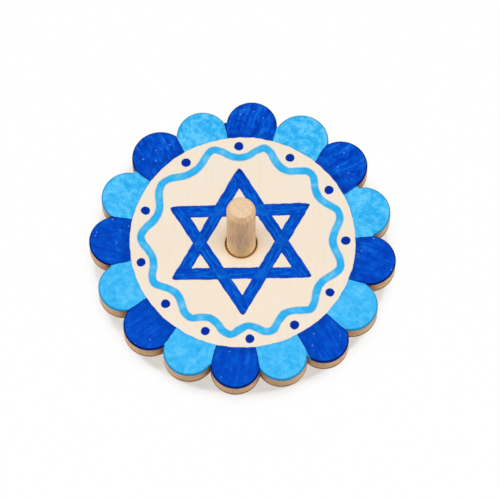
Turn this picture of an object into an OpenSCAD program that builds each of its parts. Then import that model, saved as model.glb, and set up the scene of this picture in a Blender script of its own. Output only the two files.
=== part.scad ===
// Spinning top of the dreidel family: a scalloped wooden disc on a turned wooden spindle.
// Millimetres, +Z up along the spindle, origin at the point that the top spins on.

/* [Disc] */
// Diameter over the tips of the scallops
disc_d = 76; // [60:1:100]
// Thickness of the board that the disc is cut from
disc_t = 5.5; // [4:0.5:8]
// Number of scallops, even so that their two colours alternate all the way round
scallop_count = 16; // [12:2:20]
// How far two neighbouring scallops run into each other
scallop_lap = 0.95; // [0.7:0.05:1.6]
// Width that sanding takes off the upper edge
top_ease = 0.5; // [0.3:0.1:0.9]
// Width that sanding takes off the lower edge
under_ease = 0.4; // [0.2:0.1:0.8]

/* [Spindle] */
// Diameter of the hole through the disc
bore_d = 8; // [6.5:0.5:10]
// Glue gap between the hole and the spindle's seat, on each side
glue_gap = 0.05; // [0.02:0.01:0.1]
// Width of the open ring between the grip and the mouth of the hole
ring_gap = 0.4; // [0.2:0.05:0.8]
// Depth of that ring, down to the full seat
shoulder_h = 2; // [1:0.25:3]
// Height of the grip above the disc
grip_h = 23.5; // [16:0.5:30]
// Width of the chamfer at the top of the grip
chamfer_w = 0.9; // [0.4:0.1:1.8]
// Height of that chamfer
chamfer_h = 2; // [0.4:0.1:3]
// Distance from the underside of the disc down to the point
foot_h = 11.5; // [8:0.5:16]
// Height of the tapered point
point_h = 7; // [4:0.5:7.5]
// Radius of the rounded tip
tip_r = 1.2; // [0.8:0.1:1.8]

/* [Hidden] */
$fn = 96;

// Run-over of a cut past the face that it opens
cut_over = 1;
// Facets round each scallop, and bevels that round the upper and the lower edge
rim_facets = 16;
top_steps = 3;
under_steps = 2;

// Even layout of the scallops: lens-shaped laps of scallop_lap between neighbours
disc_r = disc_d / 2;
scallop_step = 360 / scallop_count;
half_step_sin = sin(scallop_step / 2);
scallop_r = (disc_r * half_step_sin + scallop_lap / 2) / (1 + half_step_sin);
ring_r = disc_r - scallop_r;
notch_r = ring_r * cos(scallop_step / 2) + sqrt(pow(scallop_r, 2) - pow(ring_r * half_step_sin, 2));
// The round middle stops just short of the notches
middle_r = notch_r - under_ease;

// The rim is cut by hand, so each scallop strays a little from the even layout.
// Angle of the first scallop, a dark one at the back, and the rest follow anticlockwise
first_turn = 86;
// Stray round the rim, as shares of the step between scallops
turn_shares = [
    -0.03, 0, 0.01, 0.12, 0.12, 0.14, 0.12, 0.1, 0.07, 0, -0.09, -0.2, -0.17, -0.13, -0.04, -0.08
];
// Stray of the centre outwards, as shares of the scallop's radius
reach_shares = [
    0.11, -0.11, -0.1, -0.1, -0.01, -0.03, -0.04, -0.04, 0.08, -0.02, 0.15, 0.03, 0.12, 0.04, 0.19, 0.05
];
// Radius of each scallop, as shares of the even radius
radius_shares = [
    0.96, 0.98, 1.08, 1.03, 0.99, 0.97, 1, 0.97, 0.94, 0.97, 0.94, 1.02, 0.99, 1.02, 1.01, 1.04
];

// Heights and radii along the spindle
disc_top = foot_h + disc_t;
spindle_top = disc_top + grip_h;
bore_r = bore_d / 2;
seat_r = bore_r - glue_gap;
grip_r = bore_r - ring_gap;

// The taper of the point meets the rounded tip along a tangent
point_run = norm([seat_r, point_h - tip_r]);
tangent_turn = atan2(point_h - tip_r, seat_r) - acos(tip_r / point_run);
tip_edge = [tip_r * cos(tangent_turn), tip_r + tip_r * sin(tangent_turn)];

// One share of a table, which starts again when there are more scallops than entries
function share(table, i) = table[i % len(table)];

// Where scallop i sits, and how large it is
function scallop_turn(i) = first_turn + (i + share(turn_shares, i)) * scallop_step;
function scallop_centre(i) =
    (ring_r + share(reach_shares, i) * scallop_r) * [cos(scallop_turn(i)), sin(scallop_turn(i))];
function scallop_radius(i) = scallop_r * share(radius_shares, i);
function after(i) = (i + 1) % scallop_count;
function before(i) = (i + scallop_count - 1) % scallop_count;

// A point of the plan, pushed out to the round middle where it would fall inside it
function outside_middle(p) = p * max(1, middle_r / norm(p));

// The notch between scallop i and the next one, for both scallops drawn in by an inset.
// Scallops too far apart to meet leave the edge of the round middle at the foot of the notch.
function notch(i, inset) =
    let (
        a = scallop_centre(i),
        b = scallop_centre(after(i)),
        a_r = scallop_radius(i) - inset,
        b_r = scallop_radius(after(i)) - inset,
        gap = norm(b - a),
        along = (pow(gap, 2) + pow(a_r, 2) - pow(b_r, 2)) / (2 * gap),
        out = sqrt(max(0, pow(a_r, 2) - pow(along, 2))),
        way = (b - a) / gap
    )
    outside_middle(a + along * way + out * [way.y, -way.x]);

// Direction from the middle of scallop i to a point
function bearing(i, p) = atan2(p.y - scallop_centre(i).y, p.x - scallop_centre(i).x);

// The outline of scallop i at an inset, from the notch before it up to the notch after it
function scallop_outline(i, inset) =
    let (
        start = bearing(i, notch(before(i), 0)),
        sweep = (bearing(i, notch(i, 0)) - start + 720) % 360
    )
    [
        notch(before(i), inset),
        for (k = [1 : rim_facets - 1])
            let (turn = start + sweep * k / rim_facets)
                outside_middle(
                    scallop_centre(i) + (scallop_radius(i) - inset) * [cos(turn), sin(turn)]
                )
    ];

// Inset and depth under the face of each bevel of an eased edge, along a quarter circle
function bevel(width, k, steps) = width * [1 - sin(90 * k / steps), 1 - cos(90 * k / steps)];

// Inset and height of the rings of points that the board's skin joins, from its underside up
rings = [
    for (k = [0 : under_steps]) bevel(under_ease, k, under_steps),
    for (k = [top_steps : -1 : 0])
        let (cut = bevel(top_ease, k, top_steps)) [cut[0], disc_t - cut[1]]
];

// The board with its scalloped, eased rim, as one skin
module board() {
    ring_size = scallop_count * rim_facets;
    last = len(rings) - 1;
    polyhedron(
        points = [
            for (ring = rings)
                for (i = [0 : scallop_count - 1])
                    for (p = scallop_outline(i, ring[0])) [p.x, p.y, ring[1]]
        ],
        faces = [
            [for (k = [0 : ring_size - 1]) k],
            [for (k = [ring_size - 1 : -1 : 0]) last * ring_size + k],
            for (r = [0 : last - 1])
                for (k = [0 : ring_size - 1])
                    let (
                        low = r * ring_size,
                        high = low + ring_size,
                        next = (k + 1) % ring_size
                    )
                        each [[low + k, high + k, high + next], [low + k, high + next, low + next]]
        ]
    );
}

// The disc: the scalloped board, drilled for the spindle
module disc() {
    color("blanchedalmond")
        translate([0, 0, foot_h])
            difference() {
                board();
                translate([0, 0, -cut_over]) cylinder(r = bore_r, h = disc_t + 2 * cut_over);
            }
}

// The spindle: rounded tip, tapered point, seat in the hole, shoulder, grip and chamfered top
module spindle() {
    color("burlywood")
        rotate_extrude() {
            polygon([
                [0, tip_r],
                tip_edge,
                [seat_r, point_h],
                [seat_r, disc_top - shoulder_h],
                [grip_r, disc_top],
                [grip_r, spindle_top - chamfer_h],
                [grip_r - chamfer_w, spindle_top],
                [0, spindle_top]
            ]);
            intersection() {
                translate([0, tip_r]) circle(tip_r);
                square([tip_r, 2 * tip_r]);
            }
        }
}

disc();
spindle();
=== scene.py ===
"""A hand-coloured wooden disc top of the dreidel family: a scalloped, inked board on a turned spindle.

Lengths are written in millimetres and angles in degrees, and turned to metres and radians where Blender takes
them. +Z runs up the spindle, -Y faces the viewer, and the origin is the point that the top spins on.
"""
import math

import bpy
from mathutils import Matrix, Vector


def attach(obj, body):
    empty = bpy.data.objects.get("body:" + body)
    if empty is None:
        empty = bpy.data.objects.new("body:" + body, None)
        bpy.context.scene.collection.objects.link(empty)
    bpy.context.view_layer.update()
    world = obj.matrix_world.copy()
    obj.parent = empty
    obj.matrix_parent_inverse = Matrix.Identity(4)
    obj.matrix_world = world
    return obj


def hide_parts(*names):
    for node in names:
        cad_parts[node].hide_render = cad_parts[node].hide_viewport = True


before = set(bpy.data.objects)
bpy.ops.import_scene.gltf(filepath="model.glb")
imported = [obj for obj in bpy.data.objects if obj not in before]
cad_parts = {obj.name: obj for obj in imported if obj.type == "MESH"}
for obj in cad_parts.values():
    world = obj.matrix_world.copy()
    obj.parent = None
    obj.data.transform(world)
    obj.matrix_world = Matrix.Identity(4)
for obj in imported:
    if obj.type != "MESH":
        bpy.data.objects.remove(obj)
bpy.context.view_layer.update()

MM = 0.001

# Sizes of the board and the spindle, as in the part
BOARD_DIAMETER = 76.0
BOARD_THICKNESS = 5.5
UNDERSIDE_HEIGHT = 11.5
FACE_HEIGHT = UNDERSIDE_HEIGHT + BOARD_THICKNESS
TOP_EASE = 0.5
UNDER_EASE = 0.4
HOLE_RADIUS = 4.0
SEAT_RADIUS = 3.95
GRIP_RADIUS = 3.6
SHOULDER_HEIGHT = 2.0
SPINDLE_TOP = FACE_HEIGHT + 23.5
CHAMFER_WIDTH = 0.9
CHAMFER_HEIGHT = 2.0
POINT_HEIGHT = 7.0
TIP_RADIUS = 1.2

# The sixteen scallops, from the dark one at the back and on anticlockwise, stray from an even layout as in
# the part
SCALLOPS = 16
SCALLOP_LAP = 0.95
FIRST_TURN = 86.0
TURN_SHARES = [-0.03, 0, 0.01, 0.12, 0.12, 0.14, 0.12, 0.1, 0.07, 0, -0.09, -0.2, -0.17, -0.13, -0.04, -0.08]
REACH_SHARES = [
    0.11, -0.11, -0.1, -0.1, -0.01, -0.03, -0.04, -0.04, 0.08, -0.02, 0.15, 0.03, 0.12, 0.04, 0.19, 0.05,
]
RADIUS_SHARES = [0.96, 0.98, 1.08, 1.03, 0.99, 0.97, 1, 0.97, 0.94, 0.97, 0.94, 1.02, 0.99, 1.02, 1.01, 1.04]
# How far each colour seam leans round the disc between its notch and its inner end, in degrees
SEAM_LEANS = [0, 0.3, 0.7, -0.1, -1.1, -0.45, -0.65, -0.35, 0.2, -0.35, 1.3, -0.2, -0.55, -0.8, -1.2, -0.95]
# How far the pen missed each notch, anticlockwise along the rim
SEAM_MISSES = [0, 0.45, 0.2, -0.1, -0.15, 0.05, -0.1, -0.1, 0.05, 0, 0.45, -0.2, -0.1, -0.1, -0.15, 0.1]
# The bare round middle that the two blues stop at
BARE_CENTRE = (0.37, 0.5)
BARE_RADIUS = 28.07

# How fine the board's skin is: columns across a scallop, crowded towards its notches as a sine is towards
# this angle, the underside's rows as shares of the way in from the rim, and the rows of each other stretch
SCALLOP_COLUMNS = 40
CROWDING_ANGLE = 79.0
UNDERSIDE_SHARES = (1, 0.7, 0.4, 0.2, 0.08, 0.03)
UNDER_EASE_ROWS = 4
EDGE_ROWS = 6
TOP_EASE_ROWS = 6
FACE_ROWS = 104
HOLE_ROWS = 3
WAVE_STEPS = 900
# How fine the spindle's skin is, and how far from each corner its rounding starts, from the top down
SPINDLE_COLUMNS = 96
CORNER_EASES = (0, 0.18, 0.3, 0.3, 0.2, 0.5, 0)
CORNER_STEPS = 5
TIP_STEPS = 8
STATION_GAP = 0.7
# Hand sanding took up to this much off the grip, in hollows about this long and so many round it
UNEVENNESS = 0.06
HOLLOW_LENGTH = 3.9
HOLLOWS_ROUND = 9
# Points closer than this are one
MERGE_DISTANCE = 0.002
# Edges sharper than this stay crisp
CRISP_ANGLE = 34.0

# Pen marks on the bare middle: outer and inner corners of the star's two triangles, the dots and the wave
STAR_OUTSIDES = [
    [(-0.53, 20.9), (-17.5, -9.89), (17.87, -9.12)],
    [(0.47, -19.62), (17.53, 10.89), (-18.24, 9.91)],
]
STAR_INSIDES = [
    [(-0.5, 14.75), (-12.25, -6.6), (12.5, -6.3)],
    [(0.25, -13.75), (12.25, 7.5), (-12.65, 6.9)],
]
STAR_STROKE = 3.1
TIP_ROUNDING = 2.0
INSIDE_ROUNDING = 0.3
WAVE_STROKE = 1.92
DOT_RADIUS = 1.17
DOT_MARKS = [
    (-0.6, 26.2), (12.2, 23.1), (21.95, 14.35), (26, 0.75), (22, -13), (13.2, -21.65),
    (2.15, -25.25), (-8.9, -23.3), (-18.7, -16.15), (-24.85, -5.1), (-23.85, 8.75), (-13.85, 21.8),
]
WAVE_MARKS = [
    (-0.52, 23.13), (1.73, 23.55), (3.66, 24.9), (5.87, 25.67), (7.49, 24.29), (8.51, 22.2), (10, 20.3),
    (12.01, 19.39), (14.41, 19.49), (16.68, 19.42), (18.07, 17.8), (18.37, 15.51), (18.89, 13.24),
    (20.31, 11.41), (22.23, 10.18), (24.09, 8.66), (24.54, 6.59), (23.85, 4.38), (23.01, 2.3),
    (22.81, 0.02), (23.59, -2.21), (24.51, -4.32), (24.49, -6.52), (22.99, -8.19), (21.02, -9.42),
    (19.33, -11.12), (18.57, -13.2), (18.2, -15.58), (17.12, -17.46), (14.9, -17.73), (12.51, -17.93),
    (10.56, -18.87), (9.11, -20.91), (7.97, -23.01), (5.88, -23.41), (3.79, -22.42), (1.61, -21.87),
    (-0.51, -22.98), (-2.43, -24.13), (-4.43, -23.23), (-5.85, -21.36), (-7.62, -19.93), (-10.01, -19.63),
    (-12.25, -19.83), (-13.95, -18.46), (-14.71, -16.3), (-15.47, -14.04), (-17.09, -12.48),
    (-19.26, -11.58), (-21.46, -10.68), (-22.1, -8.6), (-21.77, -6.31), (-21.92, -4.11), (-22.97, -1.98),
    (-24.36, -0.18), (-25.01, 1.97), (-23.91, 3.93), (-22.25, 5.65), (-20.89, 7.5), (-20.31, 9.7),
    (-20.51, 12.01), (-20.42, 14.36), (-19.51, 16.32), (-17.54, 17.41), (-15.3, 17.87), (-13.04, 18.61),
    (-11.17, 19.87), (-9.75, 21.67), (-8.63, 23.74), (-7.05, 25.21), (-4.86, 24.68), (-2.76, 23.5),
]
# Where the pen slowed down to turn, at the crests and dips of the wave
TURN_MARKS = [0, 3, 6, 9, 12, 15, 19, 22, 25, 28, 31, 33, 36, 38, 41, 43, 46, 49, 52, 55, 58, 62, 65, 69]
# How softly each ink ends, and how far it ran down the cut rim
SEAM_SOFT = 0.06
RIM_SOFT = 0.07
WAVE_SOFT = 0.22
DARK_SOFT = 0.08
INK_RUN = 0.35
# Where tones, painted shade and painted light come and go: out from the axis in the notches (painted shade)
# and at the star's tips, and up the rim (painted shade on its lower edge), the grip (painted light at its
# foot), the seat in the hole and the point
NOTCH_SHADE = (33.4, 35.6)
STAR_TIPS = (18.2, 19.4)
FOOT_SHADE = (UNDERSIDE_HEIGHT + 0.9, UNDERSIDE_HEIGHT + 1.7)
BOUNCE_LIGHT_FOOT = (FACE_HEIGHT + 1.0, FACE_HEIGHT + 8.5)
BROWN_SEAT = (FACE_HEIGHT - 0.5, FACE_HEIGHT - 0.1)
BURNISHED_TIP = (0.6, 2.6)

# How the photograph was taken: high in front, with a lens so many pixels long, aimed so many pixels right
# of and under the middle of the face, where a pixel is this wide
PICTURE = 500
CAMERA_HEIGHT_ANGLE = 68.5
CAMERA_DISTANCE = 994.8
LENS_PIXELS = 4000.0
SENSOR_WIDTH = 36.0
PIXEL_SIZE = 0.2487
AIM_RIGHT = 8.8
AIM_DOWN = 6.7

# The studio: half the floor's width, the middle of its shade under the disc and the radii where that fades,
# and the softboxes' places, sizes and watts
FLOOR_HALF = 3000.0
SHADE_CENTRE = (0, 3.6, 0)
SHADE_RADII = (36.9, 37.7, 39.6)
SOFTBOXES = [
    ("softbox_above", (0, -70, 800), (600, 140), 3.6),
    ("softbox_left", (-800, 0, 65), (400, 100), 2.45),
    ("softbox_right", (800, 0, 65), (400, 100), 2.35),
]


def linear(code, alpha=1.0):
    """An sRGB hex colour as the linear values that shaders take."""
    parts = [int(code[k:k + 2], 16) / 255 for k in (1, 3, 5)]
    return tuple(p / 12.92 if p <= 0.04045 else ((p + 0.055) / 1.055) ** 2.4 for p in parts) + (alpha,)


def feed(node, inputs):
    """Links or sets the inputs of a node. Another node given as a value stands for its first live output."""
    for key, value in inputs.items():
        if isinstance(value, bpy.types.Node):
            value = next(socket for socket in value.outputs if socket.enabled)
        if isinstance(value, bpy.types.NodeSocket):
            node.id_data.links.new(value, node.inputs[key])
        else:
            node.inputs[key].default_value = value


def add(tree, kind, inputs=None, stops=(), **settings):
    """Adds a node with its settings and inputs, and gives a colour ramp its places and hex colours."""
    node = tree.nodes.new(kind)
    for name, value in settings.items():
        setattr(node, name, value)
    feed(node, inputs or {})
    for k, (position, code) in enumerate(stops):
        if k >= len(node.color_ramp.elements):
            node.color_ramp.elements.new(position)
        element = node.color_ramp.elements[k]
        element.position, element.color = position, linear(code)
    return node


def new_object(name, data):
    """A new object in the scene."""
    made = bpy.data.objects.new(name, data)
    bpy.context.scene.collection.objects.link(made)
    return made


def new_mesh(name, points, edges=(), faces=()):
    """A new mesh, its points given in metres."""
    mesh = bpy.data.meshes.new(name)
    mesh.from_pydata(points, list(edges), list(faces))
    return mesh


# Steps that both node trees share

def new_tree(name, **wanted):
    """A geometry tree with named inputs, listed by kind, and the sockets that give their values."""
    tree = bpy.data.node_groups.new(name, "GeometryNodeTree")
    for kind, names in wanted.items():
        for given in names:
            tree.interface.new_socket(name=given, in_out="INPUT", socket_type="NodeSocket" + kind)
    tree.interface.new_socket(name="Geometry", in_out="OUTPUT", socket_type="NodeSocketGeometry")
    return tree, tree.nodes.new("NodeGroupInput").outputs


def wrapped_grid(tree, columns, rows):
    """The grid that is wrapped round, one column of points after another, and each point's column and row."""
    grid = add(tree, "GeometryNodeMeshGrid", {"Vertices X": columns, "Vertices Y": rows})
    index = add(tree, "GeometryNodeInputIndex")
    column = add(tree, "ShaderNodeMath", {0: index, 1: rows}, operation="DIVIDE")
    column = add(tree, "ShaderNodeMath", {0: column}, operation="FLOOR")
    row = add(tree, "ShaderNodeMath", {0: index, 1: rows}, operation="FLOORED_MODULO")
    return grid, column, row


def station_at(tree, profile, row):
    """The three values of the profile's point that a row stands for."""
    position = add(tree, "GeometryNodeInputPosition")
    station = add(tree, "GeometryNodeSampleIndex", {"Geometry": profile, "Value": position, "Index": row},
                  data_type="FLOAT_VECTOR")
    return add(tree, "ShaderNodeSeparateXYZ", {0: station}).outputs


def ray_at(tree, turn):
    """The level direction at an angle round the spindle's axis."""
    x = add(tree, "ShaderNodeMath", {0: turn}, operation="COSINE")
    y = add(tree, "ShaderNodeMath", {0: turn}, operation="SINE")
    return add(tree, "ShaderNodeCombineXYZ", {0: x, 1: y})


def point_at(tree, ray, reach, height):
    """The point that lies so far out along a ray, at a height."""
    flat = add(tree, "ShaderNodeVectorMath", {0: ray, "Scale": reach}, operation="SCALE")
    rise = add(tree, "ShaderNodeCombineXYZ", {2: height})
    return add(tree, "ShaderNodeVectorMath", {0: flat, 1: rise}, operation="ADD")


def end_tree(tree, body, material):
    """Ends a tree with its instances made real and its material set."""
    body = add(tree, "GeometryNodeRealizeInstances", {0: body})
    body = add(tree, "GeometryNodeSetMaterial", {"Geometry": body, "Material": material})
    add(tree, "NodeGroupOutput", {0: body})
    return tree


def made_by(tree, start, name, values):
    """Runs a tree on a mesh and returns its result as a plain mesh object."""
    maker = new_object(name + "_maker", start)
    modifier = maker.modifiers.new("Nodes", "NODES")
    modifier.node_group = tree
    for item in tree.interface.items_tree:
        if item.in_out == "INPUT" and item.name in values:
            modifier[item.identifier] = values[item.name]
    depsgraph = bpy.context.evaluated_depsgraph_get()
    mesh = bpy.data.meshes.new_from_object(maker.evaluated_get(depsgraph))
    maker.modifiers.remove(modifier)
    bpy.data.objects.remove(maker)
    mesh.name = name
    return new_object(name, mesh)


# The scalloped board

def scallop_layout():
    """Centre and radius of each scallop and the radius of the round middle in mm, as in the part."""
    half_step_sin = math.sin(math.pi / SCALLOPS)
    even_radius = (BOARD_DIAMETER / 2 * half_step_sin + SCALLOP_LAP / 2) / (1 + half_step_sin)
    ring_radius = BOARD_DIAMETER / 2 - even_radius
    notch_radius = ring_radius * math.cos(math.pi / SCALLOPS) + math.sqrt(
        even_radius ** 2 - (ring_radius * half_step_sin) ** 2)
    circles = []
    for k in range(SCALLOPS):
        turn = math.radians(FIRST_TURN + (k + TURN_SHARES[k]) * 360 / SCALLOPS)
        reach = ring_radius + REACH_SHARES[k] * even_radius
        circles.append((reach * math.cos(turn), reach * math.sin(turn), even_radius * RADIUS_SHARES[k]))
    return circles, notch_radius - UNDER_EASE


def seam_turns(circles):
    """Angles in radians of the notch before each scallop, and of its colour seam's inner end."""
    turns = []
    for k in range(SCALLOPS + 1):
        (ax, ay, ar), (bx, by, br) = circles[(k - 1) % SCALLOPS], circles[k % SCALLOPS]
        gap = math.hypot(bx - ax, by - ay)
        along = (gap ** 2 + ar ** 2 - br ** 2) / (2 * gap)
        out = math.sqrt(max(0, ar ** 2 - along ** 2))
        wx, wy = (bx - ax) / gap, (by - ay) / gap
        turn = math.atan2(ay + along * wy - out * wx, ax + along * wx + out * wy)
        while turns and turn < turns[-1][0]:
            turn += 2 * math.pi
        turns.append((turn, turn + math.radians(SEAM_LEANS[k % SCALLOPS])))
    return turns


def board_profile():
    """Stations round the board's section: inset in mm, share of the way in to the hole, height in mm."""
    low, high = UNDERSIDE_HEIGHT + UNDER_EASE, FACE_HEIGHT - TOP_EASE
    stations = [(UNDER_EASE, share, UNDERSIDE_HEIGHT) for share in UNDERSIDE_SHARES]
    for k in range(UNDER_EASE_ROWS + 1):
        turn = math.pi / 2 * k / UNDER_EASE_ROWS
        stations.append((UNDER_EASE * (1 - math.sin(turn)), 0, low - UNDER_EASE * math.cos(turn)))
    stations += [(0, 0, low + (high - low) * k / EDGE_ROWS) for k in range(1, EDGE_ROWS)]
    for k in range(TOP_EASE_ROWS, -1, -1):
        turn = math.pi / 2 * k / TOP_EASE_ROWS
        stations.append((TOP_EASE * (1 - math.sin(turn)), 0, high + TOP_EASE * math.cos(turn)))
    stations += [(TOP_EASE, k / FACE_ROWS, FACE_HEIGHT) for k in range(1, FACE_ROWS + 1)]
    for k in range(1, HOLE_ROWS + 1):
        stations.append((TOP_EASE, 1, FACE_HEIGHT - BOARD_THICKNESS * k / HOLE_ROWS))
    return stations


def rim_reach(tree, scallops, ray, inset, least):
    """Reach of the rim along a ray: the furthest of the scallops, drawn in by the inset, or the least."""
    repeat_in = tree.nodes.new("GeometryNodeRepeatInput")
    repeat_out = tree.nodes.new("GeometryNodeRepeatOutput")
    repeat_in.pair_with_output(repeat_out)
    repeat_out.repeat_items.clear()
    repeat_out.repeat_items.new("FLOAT", "Reach")
    feed(repeat_in, {"Iterations": SCALLOPS, "Reach": least})
    which = repeat_in.outputs["Iteration"]
    position = add(tree, "GeometryNodeInputPosition")
    radius = add(tree, "GeometryNodeInputNamedAttribute", {"Name": "radius"}, data_type="FLOAT")
    centre = add(tree, "GeometryNodeSampleIndex", {"Geometry": scallops, "Value": position, "Index": which},
                 data_type="FLOAT_VECTOR")
    size = add(tree, "GeometryNodeSampleIndex", {"Geometry": scallops, "Value": radius, "Index": which},
               data_type="FLOAT")
    size = add(tree, "ShaderNodeMath", {0: size, 1: inset}, operation="SUBTRACT")
    ahead = add(tree, "ShaderNodeVectorMath", {0: centre, 1: ray}, operation="DOT_PRODUCT")
    aside = add(tree, "ShaderNodeVectorMath", {0: centre, 1: ray}, operation="CROSS_PRODUCT")
    aside = add(tree, "ShaderNodeVectorMath", {0: aside}, operation="LENGTH")
    size_square = add(tree, "ShaderNodeMath", {0: size, 1: 2}, operation="POWER")
    aside_square = add(tree, "ShaderNodeMath", {0: aside, 1: 2}, operation="POWER")
    chord = add(tree, "ShaderNodeMath", {0: size_square, 1: aside_square}, operation="SUBTRACT")
    hit = add(tree, "ShaderNodeMath", {0: chord, 1: 0}, operation="GREATER_THAN")
    chord = add(tree, "ShaderNodeMath", {0: chord, 1: 0}, operation="MAXIMUM")
    chord = add(tree, "ShaderNodeMath", {0: chord}, operation="SQRT")
    far = add(tree, "ShaderNodeMath", {0: ahead, 1: chord}, operation="ADD")
    far = add(tree, "ShaderNodeMath", {0: far, 1: hit}, operation="MULTIPLY")
    furthest = add(tree, "ShaderNodeMath", {0: far, 1: repeat_in.outputs["Reach"]}, operation="MAXIMUM")
    feed(repeat_out, {"Reach": furthest})
    return repeat_out.outputs["Reach"]


def place_across(tree, column, per_scallop):
    """The scallop that a column belongs to, the next, and how far across, closer together at the notches."""
    place = add(tree, "ShaderNodeMath", {0: column, 1: per_scallop}, operation="DIVIDE")
    number = add(tree, "ShaderNodeMath", {0: place}, operation="FLOOR")
    number = add(tree, "ShaderNodeMath", {0: number, 1: SCALLOPS - 1}, operation="MINIMUM")
    following = add(tree, "ShaderNodeMath", {0: number, 1: 1}, operation="ADD")
    across = add(tree, "ShaderNodeMath", {0: place, 1: number}, operation="SUBTRACT")
    crowd = math.radians(CROWDING_ANGLE)
    swing = add(tree, "ShaderNodeMapRange", {"Value": across, "To Min": -crowd, "To Max": crowd})
    swing = add(tree, "ShaderNodeMath", {0: swing}, operation="SINE")
    across = add(tree, "ShaderNodeMapRange", {
        "Value": swing, "From Min": -math.sin(crowd), "From Max": math.sin(crowd)})
    return number, following, across


def seam_marks(tree, number, across, out, lean, width_turn, misses):
    """Distance to the nearer seam, counted up in dark scallops and down in light ones, and the strokes."""
    width = add(tree, "ShaderNodeMath", {0: width_turn, 1: out}, operation="MULTIPLY")
    to_end = add(tree, "ShaderNodeMath", {0: 1, 1: across}, operation="SUBTRACT")
    distances = []
    for share, miss, way in ((across, misses[0], -1), (to_end, misses[1], 1)):
        miss = add(tree, "ShaderNodeMath", {0: miss, 1: lean}, operation="MULTIPLY")
        miss = add(tree, "ShaderNodeMath", {0: miss, 1: way}, operation="MULTIPLY")
        distances.append(add(tree, "ShaderNodeMath", {0: share, 1: width, 2: miss}, operation="MULTIPLY_ADD"))
    nearer = add(tree, "ShaderNodeMath", {0: distances[0], 1: distances[1]}, operation="MINIMUM")
    odd = add(tree, "ShaderNodeMath", {0: number, 1: 2}, operation="FLOORED_MODULO")
    sign = add(tree, "ShaderNodeMapRange", {"Value": odd, "To Min": 1, "To Max": -1})
    seam_side = add(tree, "ShaderNodeMath", {0: nearer, 1: sign}, operation="MULTIPLY")
    stroke_across = add(tree, "ShaderNodeMath", {0: across, 1: width}, operation="MULTIPLY")
    return seam_side, add(tree, "ShaderNodeCombineXYZ", {0: stroke_across, 1: out, 2: number})


def pen_distances(tree, body, wave, turn_points, dots):
    """Stores on each point how far it lies from the path of each pen."""
    wave = add(tree, "GeometryNodeMeshToCurve", {0: wave})
    wave = add(tree, "GeometryNodeCurveSplineType", {0: wave}, spline_type="CATMULL_ROM")
    wave = add(tree, "GeometryNodeResampleCurve", {"Curve": wave, "Count": WAVE_STEPS})
    wave = add(tree, "GeometryNodeCurveToMesh", {0: wave})
    for name, path, element in (("to_wave", wave, "EDGES"), ("to_turn", turn_points, "POINTS"),
                                ("to_dot", dots, "POINTS")):
        near = add(tree, "GeometryNodeProximity", {0: path}, target_element=element).outputs["Distance"]
        body = add(tree, "GeometryNodeStoreNamedAttribute", {"Geometry": body, "Name": name, "Value": near},
                   data_type="FLOAT", domain="POINT")
    return body


def scalloped_board_tree():
    """A wheel of columns, each reaching to the furthest scallop, with the distances to the pens' paths."""
    helpers = ["Stations", "Wave marks", "Turn marks", "Dot marks"]
    tree, given = new_tree(
        "Scalloped board", Geometry=["Scallops"], Object=helpers, Int=["Columns per scallop", "Rows"],
        Float=["Middle radius", "Hole radius", "Seam start radius"], Material=["Material"])
    scallops, per_scallop = given["Scallops"], given["Columns per scallop"]
    stations, wave, turn_points, dots = (
        add(tree, "GeometryNodeObjectInfo", {"Object": given[name]}).outputs["Geometry"] for name in helpers)
    columns = add(tree, "ShaderNodeMath", {0: per_scallop, 1: SCALLOPS, 2: 1}, operation="MULTIPLY_ADD")
    body, column, row = wrapped_grid(tree, columns, given["Rows"])
    inset, inward, height = station_at(tree, stations, row)
    number, following, across = place_across(tree, column, per_scallop)
    # What is stored of the notches on both sides: their turns, the seams' inner turns and the pen's misses
    beside = []
    for name in ("seam_out", "seam_in", "seam_miss"):
        stored = add(tree, "GeometryNodeInputNamedAttribute", {"Name": name}, data_type="FLOAT")
        beside.append([
            add(tree, "GeometryNodeSampleIndex", {"Geometry": scallops, "Value": stored, "Index": which},
                data_type="FLOAT") for which in (number, following)])
    notches, inner_ends, misses = beside
    outer_turn, inner_turn = (
        add(tree, "ShaderNodeMapRange", {"Value": across, "To Min": ends[0], "To Max": ends[1]})
        for ends in (notches, inner_ends))
    width_turn = add(tree, "ShaderNodeMath", {0: notches[1], 1: notches[0]}, operation="SUBTRACT")
    rim = rim_reach(tree, scallops, ray_at(tree, outer_turn), inset, given["Middle radius"])

    # Place of each point: inwards from the rim to the hole, the columns leaning along the colour seams
    out = add(tree, "ShaderNodeMapRange", {"Value": inward, "To Min": rim, "To Max": given["Hole radius"]})
    lean = add(tree, "ShaderNodeMapRange", {
        "Value": out, "From Min": given["Seam start radius"], "From Max": given["Middle radius"]},
        interpolation_type="SMOOTHSTEP")
    turn = add(tree, "ShaderNodeMapRange", {"Value": lean, "To Min": inner_turn, "To Max": outer_turn})
    point = point_at(tree, ray_at(tree, turn), out, height)
    seam_side, stroke = seam_marks(tree, number, across, out, lean, width_turn, misses)

    # All of it is worked out from the grid's own index, so it is stored before points move and merge
    for name, kind, value in (("seam_side", "FLOAT", seam_side), ("stroke", "FLOAT_VECTOR", stroke),
                              ("place", "FLOAT_VECTOR", point)):
        body = add(tree, "GeometryNodeStoreNamedAttribute", {"Geometry": body, "Name": name, "Value": value},
                   data_type=kind, domain="POINT")
    place_kept = add(tree, "GeometryNodeInputNamedAttribute", {"Name": "place"}, data_type="FLOAT_VECTOR")
    body = add(tree, "GeometryNodeSetPosition", {"Geometry": body, "Position": place_kept})
    body = add(tree, "GeometryNodeRemoveAttribute", {"Geometry": body, "Name": "place"})
    body = add(tree, "GeometryNodeMergeByDistance", {"Geometry": body, "Distance": MERGE_DISTANCE * MM})
    body = pen_distances(tree, body, wave, turn_points, dots)
    return end_tree(tree, body, given["Material"])


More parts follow.
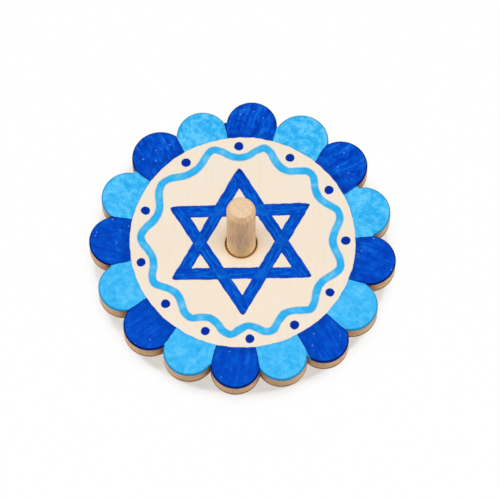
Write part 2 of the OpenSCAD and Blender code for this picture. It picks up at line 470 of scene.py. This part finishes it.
def make_board(material):
    """The scalloped board, with the distances that its inks are drawn from stored on its points."""
    circles, middle_radius = scallop_layout()
    seams = seam_turns(circles)
    spots = circles + circles[:1]
    start = new_mesh("scallop_centres", [(x * MM, y * MM, 0) for x, y, _ in spots])
    for name, values in (("radius", [r * MM for _, _, r in spots]), ("seam_out", [s[0] for s in seams]),
                         ("seam_in", [s[1] for s in seams]),
                         ("seam_miss", [miss * MM for miss in SEAM_MISSES + SEAM_MISSES[:1]])):
        start.attributes.new(name, "FLOAT", "POINT").data.foreach_set("value", values)
    stations = board_profile()
    helpers = {"Stations": new_object("stations", new_mesh(
        "stations", [(inset * MM, share, z * MM) for inset, share, z in stations]))}
    round_the_wave = [(k, (k + 1) % len(WAVE_MARKS)) for k in range(len(WAVE_MARKS))]
    turns = [WAVE_MARKS[k] for k in TURN_MARKS]
    for name, marks, edges in (("Wave marks", WAVE_MARKS, round_the_wave), ("Turn marks", turns, []),
                               ("Dot marks", DOT_MARKS, [])):
        points = [(x * MM, y * MM, FACE_HEIGHT * MM) for x, y in marks]
        helpers[name] = new_object(name, new_mesh(name, points, edges))
    board = made_by(scalloped_board_tree(), start, "board", {
        **helpers, "Columns per scallop": SCALLOP_COLUMNS, "Rows": len(stations),
        "Middle radius": middle_radius * MM, "Hole radius": HOLE_RADIUS * MM,
        "Seam start radius": BARE_RADIUS * MM, "Material": material})
    for helper in helpers.values():
        bpy.data.objects.remove(helper)
    return board


# The turned spindle

def spindle_profile():
    """Stations down the spindle from the middle of its top, radius and height in mm, its corners rounded."""
    run = math.hypot(SEAT_RADIUS, POINT_HEIGHT - TIP_RADIUS)
    tangent = math.atan2(POINT_HEIGHT - TIP_RADIUS, SEAT_RADIUS) - math.acos(TIP_RADIUS / run)
    corners = [Vector(corner) for corner in (
        (0, SPINDLE_TOP), (GRIP_RADIUS - CHAMFER_WIDTH, SPINDLE_TOP),
        (GRIP_RADIUS, SPINDLE_TOP - CHAMFER_HEIGHT), (GRIP_RADIUS, FACE_HEIGHT),
        (SEAT_RADIUS, FACE_HEIGHT - SHOULDER_HEIGHT), (SEAT_RADIUS, POINT_HEIGHT),
        (TIP_RADIUS * math.cos(tangent), TIP_RADIUS + TIP_RADIUS * math.sin(tangent)))]
    stations = []
    for k, (corner, ease) in enumerate(zip(corners, CORNER_EASES)):
        if not ease:
            stations.append(corner)
            continue
        start = corner + (corners[k - 1] - corner).normalized() * ease
        end = corner + (corners[k + 1] - corner).normalized() * ease
        for step in range(CORNER_STEPS + 1):
            share = step / CORNER_STEPS
            stations.append(start * (1 - share) ** 2 + corner * 2 * share * (1 - share) + end * share ** 2)
    for k in range(1, TIP_STEPS):
        turn = tangent - (tangent + math.pi / 2) * k / TIP_STEPS
        stations.append(Vector((TIP_RADIUS * math.cos(turn), TIP_RADIUS + TIP_RADIUS * math.sin(turn))))
    stations.append(Vector((0, 0)))
    # Long straight runs get stations in between, for the slight unevenness that turning leaves
    fine = [stations[0]]
    for start, end in zip(stations, stations[1:]):
        parts = max(1, int((end - start).length / STATION_GAP))
        fine += [start.lerp(end, k / parts) for k in range(1, parts + 1)]
    return fine


def turned_spindle_tree():
    """A profile turned on the lathe, with hand sanding that leaves it very slightly out of round."""
    tree, given = new_tree("Turned spindle", Geometry=["Profile"], Int=["Columns", "Rows"],
                           Float=["Unevenness", "Uneven from", "Hollow length"], Material=["Material"])
    columns = add(tree, "ShaderNodeMath", {0: given["Columns"], 1: 1}, operation="ADD")
    grid, column, row = wrapped_grid(tree, columns, given["Rows"])
    radius, _, height = station_at(tree, given["Profile"], row)
    share = add(tree, "ShaderNodeMath", {0: column, 1: given["Columns"]}, operation="DIVIDE")
    turn = add(tree, "ShaderNodeMath", {0: share, 1: 2 * math.pi}, operation="MULTIPLY")
    ray = ray_at(tree, turn)
    # A coarse noise takes up to the unevenness off the grip and nothing off the seat
    lift = add(tree, "ShaderNodeMath", {0: height, 1: given["Hollow length"]}, operation="DIVIDE")
    spot = point_at(tree, ray, HOLLOWS_ROUND / (2 * math.pi), lift)
    noise = add(tree, "ShaderNodeTexNoise", {"Vector": spot, "Scale": 1.0, "Detail": 1.0})
    above = add(tree, "ShaderNodeMath", {0: height, 1: given["Uneven from"]}, operation="GREATER_THAN")
    wobble = add(tree, "ShaderNodeMath", {0: noise, 1: given["Unevenness"]}, operation="MULTIPLY")
    wobble = add(tree, "ShaderNodeMath", {0: wobble, 1: above}, operation="MULTIPLY")
    reach = add(tree, "ShaderNodeMath", {0: radius, 1: wobble}, operation="SUBTRACT")
    reach = add(tree, "ShaderNodeMath", {0: reach, 1: 0}, operation="MAXIMUM")
    point = point_at(tree, ray, reach, height)
    body = add(tree, "GeometryNodeSetPosition", {"Geometry": grid, "Position": point})
    body = add(tree, "GeometryNodeMergeByDistance", {"Geometry": body, "Distance": MERGE_DISTANCE * MM})
    # The profile runs from the top down, which leaves the grid's faces looking inwards
    body = add(tree, "GeometryNodeFlipFaces", {0: body})
    return end_tree(tree, body, given["Material"])


def make_spindle(material):
    """The turned spindle, from the middle of its flat top down to its rounded tip."""
    stations = spindle_profile()
    start = new_mesh("spindle_profile", [(r * MM, 0, z * MM) for r, z in stations])
    return made_by(turned_spindle_tree(), start, "turned_spindle", {
        "Columns": SPINDLE_COLUMNS, "Rows": len(stations), "Unevenness": UNEVENNESS * MM,
        "Uneven from": FACE_HEIGHT * MM, "Hollow length": HOLLOW_LENGTH * MM, "Material": material})


# Steps that the materials share. A pattern's mapping is of the texture kind, so its scale is a size in mm

def new_material(name):
    """A new material, its node tree and its shader."""
    material = bpy.data.materials.new(name)
    material.use_nodes = True
    return material, material.node_tree, material.node_tree.nodes["Principled BSDF"]


def place_on_piece(tree):
    """A point's place on the piece in mm, its height, and how far its surface looks up."""
    coords = add(tree, "ShaderNodeTexCoord")
    mm = add(tree, "ShaderNodeVectorMath", {0: coords.outputs["Object"], "Scale": 1 / MM}, operation="SCALE")
    height = add(tree, "ShaderNodeSeparateXYZ", {0: mm}).outputs[2]
    return mm, height, add(tree, "ShaderNodeSeparateXYZ", {0: coords.outputs["Normal"]}).outputs[2]


def inked(tree, under, reach, soft, ink):
    """Lays one ink over a colour wherever reach, in mm, is above zero."""
    cover = add(tree, "ShaderNodeMapRange", {"Value": reach, "From Min": -soft, "From Max": soft},
                interpolation_type="SMOOTHSTEP")
    return add(tree, "ShaderNodeMix", {0: cover, 6: under, 7: ink}, data_type="RGBA"), cover


def drawn_out(tree, place, size, inputs, turn=0.0):
    """A noise drawn out to a size, at an angle, and each point's place in it."""
    place = add(tree, "ShaderNodeMapping", {"Vector": place, "Rotation": (0, 0, turn), "Scale": size},
                vector_type="TEXTURE")
    return add(tree, "ShaderNodeTexNoise", {"Vector": place, "Scale": 1.0, **inputs}), place


def toned(tree, under, measure, span, shares, tone, mask=1.0):
    """Lays a tone over a colour, by a share that goes from one value to another as a measure crosses a span.

    A mask can hold the tone to the places where it belongs.
    """
    share = add(tree, "ShaderNodeMapRange", {
        "Value": measure, "From Min": span[0], "From Max": span[1], "To Min": shares[0], "To Max": shares[1]})
    share = add(tree, "ShaderNodeMath", {0: share, 1: mask}, operation="MULTIPLY")
    tone = linear(tone) if isinstance(tone, str) else tone
    return add(tree, "ShaderNodeMix", {0: share, 6: under, 7: tone}, data_type="RGBA")


def deepest(tree, fades):
    """The greatest of some shares, each fading to nothing as its measure goes from one value to another."""
    share = 0
    for measure, start, end, most, mask in fades:
        fade = add(tree, "ShaderNodeMapRange", {
            "Value": measure, "From Min": start, "From Max": end, "To Min": most, "To Max": 0.0})
        fade = add(tree, "ShaderNodeMath", {0: fade, 1: mask}, operation="MULTIPLY")
        share = add(tree, "ShaderNodeMath", {0: share, 1: fade}, operation="MAXIMUM")
    return share


def depth_in_triangle(tree, mm, corners, rounding):
    """How deep in mm a point lies in a triangle with anticlockwise, rounded corners.

    The second result is the direction of each side, with the distance from it.
    """
    depth, sides = None, []
    for k in range(3):
        (ax, ay), (bx, by) = corners[k], corners[(k + 1) % 3]
        run = math.hypot(bx - ax, by - ay)
        inward = ((ay - by) / run, (bx - ax) / run, 0)
        along = add(tree, "ShaderNodeVectorMath", {0: mm, 1: inward}, operation="DOT_PRODUCT")
        edge = inward[0] * ax + inward[1] * ay
        side = add(tree, "ShaderNodeMath", {0: along, 1: edge}, operation="SUBTRACT")
        sides.append((math.atan2(by - ay, bx - ax), side))
        depth = side if depth is None else add(
            tree, "ShaderNodeMath", {0: depth, 1: side, 2: rounding}, operation="SMOOTH_MIN")
    return depth, sides


def pen_reach(tree, stored, half_width, wobble):
    """How far inside a pen's mark a point lies, in mm, from its stored distance to the pen's path."""
    distance = add(tree, "ShaderNodeAttribute", attribute_name=stored).outputs["Fac"]
    reach = add(tree, "ShaderNodeMath", {0: distance, 1: -1 / MM, 2: half_width}, operation="MULTIPLY_ADD")
    return add(tree, "ShaderNodeMath", {0: reach, 1: wobble}, operation="ADD")


def bare_birch(tree, mm, height, facing):
    """Colour of the sanded board where it has no ink, the depth of its pores, and the place in its grain."""
    flat = add(tree, "ShaderNodeVectorMath", {0: mm, 1: (1, 1, 0)}, operation="MULTIPLY")
    from_axis = add(tree, "ShaderNodeVectorMath", {0: flat}, operation="LENGTH")
    # Long grain runs along Y: streaks 0.6 mm wide and 14 mm long, drawn a little wider than birch's own
    grain, grain_place = drawn_out(tree, mm, (0.625, 14.3, 0.625), {"Detail": 4.0, "Roughness": 0.55})
    wood = add(tree, "ShaderNodeValToRGB", {0: grain}, stops=[
        (0.3, "#F2E3CF"), (0.5, "#F4E6D4"), (0.7, "#F5E8D8")])
    # Broad clouds, 9 mm across, where the wood is yellower
    cloud = add(tree, "ShaderNodeTexNoise", {"Vector": mm, "Scale": 1 / 9.1, "Detail": 2.0})
    wood = toned(tree, wood, cloud, (0.4, 0.65), (0, 0.3), "#F4E3CA")
    # Birch pores: dashes 0.1 mm wide and 0.7 mm long
    pore_place = add(tree, "ShaderNodeMapping", {"Vector": mm, "Scale": (0.278, 2.5, 0.278)},
                     vector_type="TEXTURE")
    pores = add(tree, "ShaderNodeTexVoronoi", {"Vector": pore_place, "Scale": 1.0})
    pores = add(tree, "ShaderNodeMapRange", {
        "Value": pores, "From Min": 0.08, "From Max": 0.2, "To Min": 0.16, "To Max": 0.0})
    wood = add(tree, "ShaderNodeMix", {0: pores, 6: wood, 7: linear("#DFC5A2")}, data_type="RGBA")
    # Painted shade round the hole: the wood is toned darker within 1.8 mm of it, where the grip shades the
    # face, and its very lip is painted brown for the shade in the gap round the spindle
    for width, share, tone in ((1.8, 0.55, "#E8D0AC"), (0.4, 0.75, "#B07E45")):
        wood = toned(tree, wood, from_axis, (HOLE_RADIUS, HOLE_RADIUS + width), (share, 0), tone)

    # The cut rim shows the board's edge: tan, in layers 0.4 mm thick, browner in the notches, partly scorch
    # and partly painted shade, and with painted shade along its lower edge
    layers, _ = drawn_out(tree, mm, (3.33, 3.33, 0.417), {"Detail": 5.0, "Roughness": 0.6})
    edge = add(tree, "ShaderNodeValToRGB", {0: layers}, stops=[
        (0.34, "#B78F69"), (0.5, "#C9A37D"), (0.66, "#D9B792")])
    brown = deepest(tree, [(from_axis, *NOTCH_SHADE, 0.8, 1), (height, *FOOT_SHADE, 0.75, 1)])
    edge = add(tree, "ShaderNodeMix", {0: brown, 6: edge, 7: linear("#7F5F3C")}, data_type="RGBA")
    # The drill left the wall of the hole a scorched orange brown
    drilled = add(tree, "ShaderNodeMath", {0: from_axis, 1: HOLE_RADIUS + 0.1}, operation="LESS_THAN")
    edge = add(tree, "ShaderNodeMix", {0: drilled, 6: edge, 7: linear("#C67A1E")}, data_type="RGBA")
    level = add(tree, "ShaderNodeMath", {0: facing}, operation="ABSOLUTE")
    return toned(tree, wood, level, (0.6, 0.95), (1, 0), edge), pores, grain_place


def pen_unevenness(tree, mm):
    """Blots 1.2 mm across and patches of 3 mm for every ink, and its edge's wobble, 0.1 mm over some 2 mm."""
    blots = add(tree, "ShaderNodeTexNoise", {
        "Vector": mm, "Scale": 1 / 1.176, "Detail": 3.0, "Roughness": 0.65})
    patches = add(tree, "ShaderNodeTexNoise", {
        "Vector": mm, "Scale": 1 / 3.33, "Detail": 2.0, "Distortion": 1.2})
    wobble = add(tree, "ShaderNodeTexNoise", {"Vector": mm, "Scale": 1 / 2.22, "Detail": 2.0})
    wobble = add(tree, "ShaderNodeMapRange", {"Value": wobble, "To Min": -0.25, "To Max": 0.25})
    return blots, patches, wobble


def scallop_fills(tree, mm, blots, patches):
    """The dark and the light fill of the scallops, streakiest at the back and evener towards the front."""
    # Strokes 1 mm wide and 7 mm long fan out, each scallop's taken from another part of the pattern
    stroke = add(tree, "ShaderNodeAttribute", attribute_name="stroke").outputs["Vector"]
    strokes, _ = drawn_out(tree, stroke, (1.053 * MM, 6.67 * MM, 1 / 9.5), {
        "Detail": 2.0, "Roughness": 0.55, "Distortion": 0.6})
    fill = add(tree, "ShaderNodeMix", {0: 0.4, 2: blots, 3: patches}, data_type="FLOAT")
    number = add(tree, "ShaderNodeSeparateXYZ", {0: stroke}).outputs[2]
    from_back = add(tree, "ShaderNodeMath", {0: number, 1: SCALLOPS / 2}, operation="PINGPONG")
    inks = []
    for share, most, least, stops in (
            (0.38, 1.2, 0.55, [(0.4, "#0039AE"), (0.5, "#004BC4"), (0.6, "#0664DF")]),
            (0.18, 1.35, 0.68, [(0.4, "#27AAEE"), (0.5, "#42BBF8"), (0.6, "#64CBFC")])):
        uneven = add(tree, "ShaderNodeMapRange", {
            "Value": from_back, "From Min": 1.0, "From Max": 5.0, "To Min": most, "To Max": least})
        streaked = add(tree, "ShaderNodeMix", {0: share, 2: fill, 3: strokes}, data_type="FLOAT")
        streaked = add(tree, "ShaderNodeMath", {0: streaked, 1: 0.5}, operation="SUBTRACT")
        streaked = add(tree, "ShaderNodeMath", {0: streaked, 1: uneven, 2: 0.5}, operation="MULTIPLY_ADD")
        inks.append(add(tree, "ShaderNodeValToRGB", {0: streaked}, stops=stops))
    dark, light = inks
    # At the back the dark strokes barely meet, and short paler scratches are left between them
    streaky = add(tree, "ShaderNodeMapRange", {
        "Value": from_back, "From Min": 2.0, "From Max": 5.0, "To Min": 0.75, "To Max": 0.25})
    spread = add(tree, "ShaderNodeMapRange", {"Value": patches, "From Min": 0.45, "From Max": 0.6})
    streaky = add(tree, "ShaderNodeMath", {0: streaky, 1: spread}, operation="MULTIPLY")
    dark = toned(tree, dark, strokes, (0.6, 0.72), (0, 0.75), "#3A86EE", mask=streaky)
    # Here and there a pinhead of wood, 0.3 mm across, stays almost bare
    pinheads = add(tree, "ShaderNodeTexVoronoi", {"Vector": mm, "Scale": 1 / 2.38})
    return toned(tree, dark, pinheads, (0.04, 0.1), (0.7, 0), "#86B4F6"), light


def scallops_inked(tree, wood, mm, height, facing, pens):
    """Lays both blues on the rim, from the bare round middle out and a little way down the cut edge."""
    blots, patches, wobble = pens
    dark, light = scallop_fills(tree, mm, blots, patches)
    seam = add(tree, "ShaderNodeAttribute", attribute_name="seam_side").outputs["Fac"]
    seam = add(tree, "ShaderNodeMath", {0: seam, 1: 1 / MM, 2: wobble}, operation="MULTIPLY_ADD")
    flat = add(tree, "ShaderNodeVectorMath", {0: mm, 1: (1, 1, 0)}, operation="MULTIPLY")
    outside = add(tree, "ShaderNodeVectorMath", {0: flat, 1: (*BARE_CENTRE, 0)}, operation="DISTANCE")
    outside = add(tree, "ShaderNodeMath", {0: outside, 1: BARE_RADIUS}, operation="SUBTRACT")
    outside = add(tree, "ShaderNodeMath", {0: outside, 1: wobble}, operation="ADD")
    drop = add(tree, "ShaderNodeMath", {0: height, 1: FACE_HEIGHT - TOP_EASE - INK_RUN}, operation="SUBTRACT")
    drop = add(tree, "ShaderNodeMath", {0: wobble, 1: 0.5, 2: drop}, operation="MULTIPLY_ADD")
    on_rim = add(tree, "ShaderNodeMath", {0: outside, 1: drop}, operation="MINIMUM")
    patch, _ = inked(tree, light, seam, SEAM_SOFT, dark)
    # Dark ink gathers into a deeper band along its seams, and both inks along the inner edge. On the eased
    # edge the same deep blues are painted shade, darker the further the surface turns from facing up
    dark_side = add(tree, "ShaderNodeMath", {0: seam, 1: 0.0}, operation="GREATER_THAN")
    inner_width = add(tree, "ShaderNodeMapRange", {"Value": dark_side, "To Min": 0.5, "To Max": 2.6})
    ink_pool_and_rim_shade = deepest(tree, [(seam, 0.1, 0.9, 0.45, dark_side), (outside, 0.05, inner_width, 0.3, 1),
                            (facing, 0.89, 0.996, 0.95, 1)])
    deep, _ = inked(tree, linear("#2A86B6"), seam, SEAM_SOFT, linear("#001A62"))
    patch = add(tree, "ShaderNodeMix", {0: ink_pool_and_rim_shade, 6: patch, 7: deep}, data_type="RGBA")
    return inked(tree, wood, on_rim, RIM_SOFT, patch)


def wave_inked(tree, under, pens):
    """Lays on the wave: one light pen stroke, deeper where the pen slowed at its turns."""
    blots, patches, wobble = pens
    wave_reach = pen_reach(tree, "to_wave", WAVE_STROKE / 2, wobble)
    to_turn = add(tree, "ShaderNodeAttribute", attribute_name="to_turn").outputs["Fac"]
    slow = add(tree, "ShaderNodeMapRange", {"Value": to_turn, "From Min": 0.6 * MM, "From Max": 3 * MM,
                                            "To Min": 1.0, "To Max": 0.0}, interpolation_type="SMOOTHSTEP")
    slow = add(tree, "ShaderNodeMath", {0: slow, 1: blots, 2: -0.1}, operation="MULTIPLY_ADD")
    slow = add(tree, "ShaderNodeMath", {0: slow, 1: 2.2}, operation="MULTIPLY")
    wave_ink = add(tree, "ShaderNodeValToRGB", {0: patches}, stops=[
        (0.3, "#27B1F1"), (0.5, "#46BCF4"), (0.7, "#74C8F5")])
    wave_ink = add(tree, "ShaderNodeMix", {0: slow, 6: wave_ink, 7: linear("#2AB0F1")}, data_type="RGBA")
    wave_ink = toned(tree, wave_ink, wave_reach, (0, 0.55), (0.5, 0), "#2296CC")
    return inked(tree, under, wave_reach, WAVE_SOFT, wave_ink)


def star_inked(tree, under, mm, height, pens):
    """Lays on the star: two triangles in broad dark strokes, deeper at their edges, blotched at crossings."""
    blots, _, wobble = pens
    outsides = [depth_in_triangle(tree, mm, corners, TIP_ROUNDING) for corners in STAR_OUTSIDES]
    insides = [depth_in_triangle(tree, mm, corners, INSIDE_ROUNDING) for corners in STAR_INSIDES]
    bands = []
    for (outer, _), (inner, _) in zip(outsides, insides):
        beyond = add(tree, "ShaderNodeMath", {0: inner, 1: -1.0}, operation="MULTIPLY")
        bands.append(add(tree, "ShaderNodeMath", {0: outer, 1: beyond}, operation="MINIMUM"))
    star_reach = add(tree, "ShaderNodeMath", {0: bands[0], 1: bands[1]}, operation="MAXIMUM")
    star_reach = add(tree, "ShaderNodeMath", {0: star_reach, 1: wobble}, operation="ADD")
    crossing = add(tree, "ShaderNodeMath", {0: bands[0], 1: bands[1]}, operation="MINIMUM")
    # Strokes 0.6 mm wide and 4 mm long fill each side lengthwise, those of a later side over the earlier ones
    lanes = blots
    for (_, sides), band in zip(outsides, bands):
        in_band = add(tree, "ShaderNodeMath", {0: band, 1: 0.0}, operation="GREATER_THAN")
        for turn, side in sides:
            lane, _ = drawn_out(tree, mm, (4, 0.6, 1), {"Detail": 2.0, "Roughness": 0.6}, turn)
            on_side = add(tree, "ShaderNodeMath", {0: side, 1: STAR_STROKE}, operation="LESS_THAN")
            on_side = add(tree, "ShaderNodeMath", {0: on_side, 1: in_band}, operation="MULTIPLY")
            lanes = add(tree, "ShaderNodeMix", {0: on_side, 2: lanes, 3: lane}, data_type="FLOAT")
    lane_share = add(tree, "ShaderNodeMapRange", {
        "Value": crossing, "From Min": -0.3, "From Max": 0.5, "To Min": 0.7, "To Max": 0.2})
    star_fill = add(tree, "ShaderNodeMix", {0: lane_share, 2: blots, 3: lanes}, data_type="FLOAT")
    star_ink = add(tree, "ShaderNodeValToRGB", {0: star_fill}, stops=[
        (0.4, "#003DB4"), (0.5, "#004EC5"), (0.6, "#0669DC")])
    star_ink = toned(tree, star_ink, crossing, (0, 0.6), (0, 0.7), "#1474DE", mask=blots)
    star_ink = toned(tree, star_ink, star_reach, (0.1, 0.5), (0.6, 0), "#0037AC")
    # The pen rested at the six tips
    flat = add(tree, "ShaderNodeVectorMath", {0: mm, 1: (1, 1, 0)}, operation="MULTIPLY")
    from_axis = add(tree, "ShaderNodeVectorMath", {0: flat}, operation="LENGTH")
    star_ink = toned(tree, star_ink, from_axis, STAR_TIPS, (0, 0.6), "#001F7C")
    above_face = add(tree, "ShaderNodeMath", {0: height, 1: FACE_HEIGHT - TOP_EASE}, operation="SUBTRACT")
    star_reach = add(tree, "ShaderNodeMath", {0: star_reach, 1: above_face}, operation="MINIMUM")
    return inked(tree, under, star_reach, DARK_SOFT, star_ink)


def inked_birch():
    """Sanded birch board coloured with felt-tip pens.

    The bare face is a pale cream with faint long grain, the cut rim a warm tan. The ink soaks in: it keeps
    the wood's smooth matt touch with a soft sheen, shows lighter pen strokes and darker edges where the pen
    stopped, and runs a little way down the eased rim.
    """
    material, tree, shader = new_material("felt_tip_ink_on_birch")
    mm, height, facing = place_on_piece(tree)
    wood, pores, grain_place = bare_birch(tree, mm, height, facing)
    pens = pen_unevenness(tree, mm)
    colour, rim_cover = scallops_inked(tree, wood, mm, height, facing, pens)
    colour, wave_cover = wave_inked(tree, colour, pens)
    colour, star_cover = star_inked(tree, colour, mm, height, pens)
    # Dots: one press of the dark pen each
    dot_reach = pen_reach(tree, "to_dot", DOT_RADIUS, pens[2])
    colour, dot_cover = inked(tree, colour, dot_reach, DARK_SOFT, linear("#0030A2"))

    # Bare sanded wood is matt. Ink fills its pores and shines a little more
    ink_cover = rim_cover
    for cover in (wave_cover, star_cover, dot_cover):
        ink_cover = add(tree, "ShaderNodeMath", {0: ink_cover, 1: cover}, operation="MAXIMUM")
    roughness = add(tree, "ShaderNodeMapRange", {"Value": ink_cover, "To Min": 0.9, "To Max": 0.7})
    fine = add(tree, "ShaderNodeTexNoise", {"Vector": grain_place, "Scale": 3.0, "Detail": 3.0})
    fine = add(tree, "ShaderNodeMath", {0: fine, 1: pores}, operation="SUBTRACT")
    bump = add(tree, "ShaderNodeBump", {"Height": fine, "Strength": 0.2, "Distance": 0.03 * MM})
    feed(shader, {"Base Color": colour, "Roughness": roughness, "IOR": 1.48, "Specular IOR Level": 0.03,
                  "Normal": bump})
    return material


def turned_beech():
    """Unvarnished turned dowel of a honey-coloured wood.

    Long grain runs up the side as fine streaks. The flat top and the chamfer show paler, speckled end grain.
    """
    material, tree, shader = new_material("turned_beech")
    mm, height, facing = place_on_piece(tree)
    # Streaks 0.4 mm wide and 7 mm long
    grain, grain_place = drawn_out(tree, mm, (0.3846, 0.3846, 7.14), {"Detail": 5.0, "Roughness": 0.6})
    side = add(tree, "ShaderNodeValToRGB", {0: grain}, stops=[
        (0.34, "#BC8D5C"), (0.5, "#CEA270"), (0.66, "#DFBA8B")])
    # End grain: specks 0.4 mm across, over faint growth rings about 2 mm apart
    speck = add(tree, "ShaderNodeTexNoise", {
        "Vector": mm, "Scale": 1 / 0.4167, "Detail": 4.0, "Roughness": 0.7})
    rings = add(tree, "ShaderNodeTexWave", {"Vector": mm, "Scale": 0.22, "Distortion": 1.6, "Detail": 2.0},
                wave_type="BANDS", bands_direction="DIAGONAL").outputs["Fac"]
    end_grain = add(tree, "ShaderNodeMix", {0: 0.08, 2: speck, 3: rings}, data_type="FLOAT")
    end = add(tree, "ShaderNodeValToRGB", {0: end_grain}, stops=[
        (0.36, "#DAB78B"), (0.5, "#E3C59F"), (0.64, "#EACFAB")])
    # Painted light: the grip's foot is painted lighter and golden, as if lit by light thrown up off the
    # board, fading over the lowest 8.5 mm
    over_point = add(tree, "ShaderNodeMath", {0: height, 1: UNDERSIDE_HEIGHT}, operation="GREATER_THAN")
    side = toned(tree, side, height, BOUNCE_LIGHT_FOOT, (0.85, 0), "#EEC583", mask=over_point)
    # Inside the hole the seat is brown with glue and shade
    side = toned(tree, side, height, BROWN_SEAT, (0.85, 0), "#C67A1A", mask=over_point)
    # Spinning has burnished the rounded tip brown
    side = toned(tree, side, height, BURNISHED_TIP, (0.6, 0), "#8F6740")
    colour = toned(tree, side, facing, (0.25, 0.95), (0, 1), end)
    fine = add(tree, "ShaderNodeTexNoise", {"Vector": grain_place, "Scale": 3.0, "Detail": 2.0})
    bump = add(tree, "ShaderNodeBump", {"Height": fine, "Strength": 0.3, "Distance": 0.05 * MM})
    feed(shader, {"Base Color": colour, "Roughness": 0.55, "IOR": 1.5, "Normal": bump})
    return material


# The studio

def seen_directly(tree):
    """One for rays from the camera or a gloss, and zero for those that light the scene."""
    path = add(tree, "ShaderNodeLightPath")
    return add(tree, "ShaderNodeMath", {0: path.outputs["Is Camera Ray"], 1: path.outputs["Is Glossy Ray"]},
               operation="MAXIMUM")


def make_floor():
    """White paper, seen mostly as plain white, which leaves a faint shadow, and darker under the disc."""
    half = FLOOR_HALF * MM
    corners = [(-half, -half, 0), (half, -half, 0), (half, half, 0), (-half, half, 0)]
    floor = new_object("floor", new_mesh("floor", corners, faces=[(0, 1, 2, 3)]))
    paper, tree, shader = new_material("white_studio_paper")
    feed(shader, {"Base Color": linear("#FBFBFB"), "Roughness": 0.9})
    place = add(tree, "ShaderNodeTexCoord").outputs["Object"]
    centre = [c * MM for c in SHADE_CENTRE]
    away = add(tree, "ShaderNodeVectorMath", {0: place, 1: centre}, operation="DISTANCE")
    dark_end, mid_end, light_end = (radius * MM for radius in SHADE_RADII)
    shade = add(tree, "ShaderNodeMapRange", {
        "Value": away, "From Min": dark_end, "From Max": mid_end, "To Min": 0.28, "To Max": 0.7})
    white_share = add(tree, "ShaderNodeMapRange", {
        "Value": away, "From Min": mid_end, "From Max": light_end, "To Min": 0.0, "To Max": 0.24})
    white_share = add(tree, "ShaderNodeMath", {0: white_share, 1: shade}, operation="ADD")
    share = add(tree, "ShaderNodeMath", {0: seen_directly(tree), 1: white_share}, operation="MULTIPLY")
    white = add(tree, "ShaderNodeEmission", {"Color": (1, 1, 1, 1), "Strength": 1.0})
    mix = add(tree, "ShaderNodeMixShader", {0: share, 1: shader, 2: white})
    feed(tree.nodes["Material Output"], {"Surface": mix})
    floor.data.materials.append(paper)


def make_lights():
    """White surroundings, a large softbox above and a weaker, low one on each side."""
    world = bpy.data.worlds.new("white_studio")
    bpy.context.scene.world = world
    world.use_nodes = True
    tree = world.node_tree
    strength = add(tree, "ShaderNodeMapRange", {"Value": seen_directly(tree), "To Min": 0.44, "To Max": 1.0})
    feed(tree.nodes["Background"], {"Color": (1, 1, 1, 1), "Strength": strength})
    for name, place, size, watts in SOFTBOXES:
        softbox = bpy.data.lights.new(name, "AREA")
        softbox.shape = "RECTANGLE"
        softbox.size, softbox.size_y = (side * MM for side in size)
        softbox.energy = watts
        lamp = new_object(name, softbox)
        lamp.location = Vector(place) * MM
        lamp.visible_camera = False
        aim = Vector((0, 0, FACE_HEIGHT * MM)) - lamp.location
        lamp.rotation_euler = aim.to_track_quat("-Z", "Y").to_euler()


def make_camera():
    """A long lens high in front, aimed so that the disc sits in the picture as it was photographed."""
    tilt = math.radians(CAMERA_HEIGHT_ANGLE)
    back = Vector((0, -math.cos(tilt), math.sin(tilt)))
    right = Vector((1, 0, 0))
    up = back.cross(right)
    target = Vector((0, 0, FACE_HEIGHT)) + (right * AIM_RIGHT - up * AIM_DOWN) * PIXEL_SIZE
    data = bpy.data.cameras.new("camera")
    data.sensor_width = SENSOR_WIDTH
    data.lens = LENS_PIXELS / PICTURE * SENSOR_WIDTH
    data.clip_end = 20.0
    camera = new_object("camera", data)
    camera.location = (target + back * CAMERA_DISTANCE) * MM
    camera.rotation_euler = (math.pi / 2 - tilt, 0, 0)
    bpy.context.scene.camera = camera


make_camera()
board = make_board(inked_birch())
spindle = make_spindle(turned_beech())
for piece, node, slot in ((board, "disc", "disc_wood"), (spindle, "spindle", "spindle_wood")):
    piece.data.shade_smooth()
    piece.data.set_sharp_from_angle(angle=math.radians(CRISP_ANGLE))
    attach(piece, "root")
    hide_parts(node)
make_floor()
make_lights()

scene = bpy.context.scene
scene.view_settings.view_transform = "Standard"
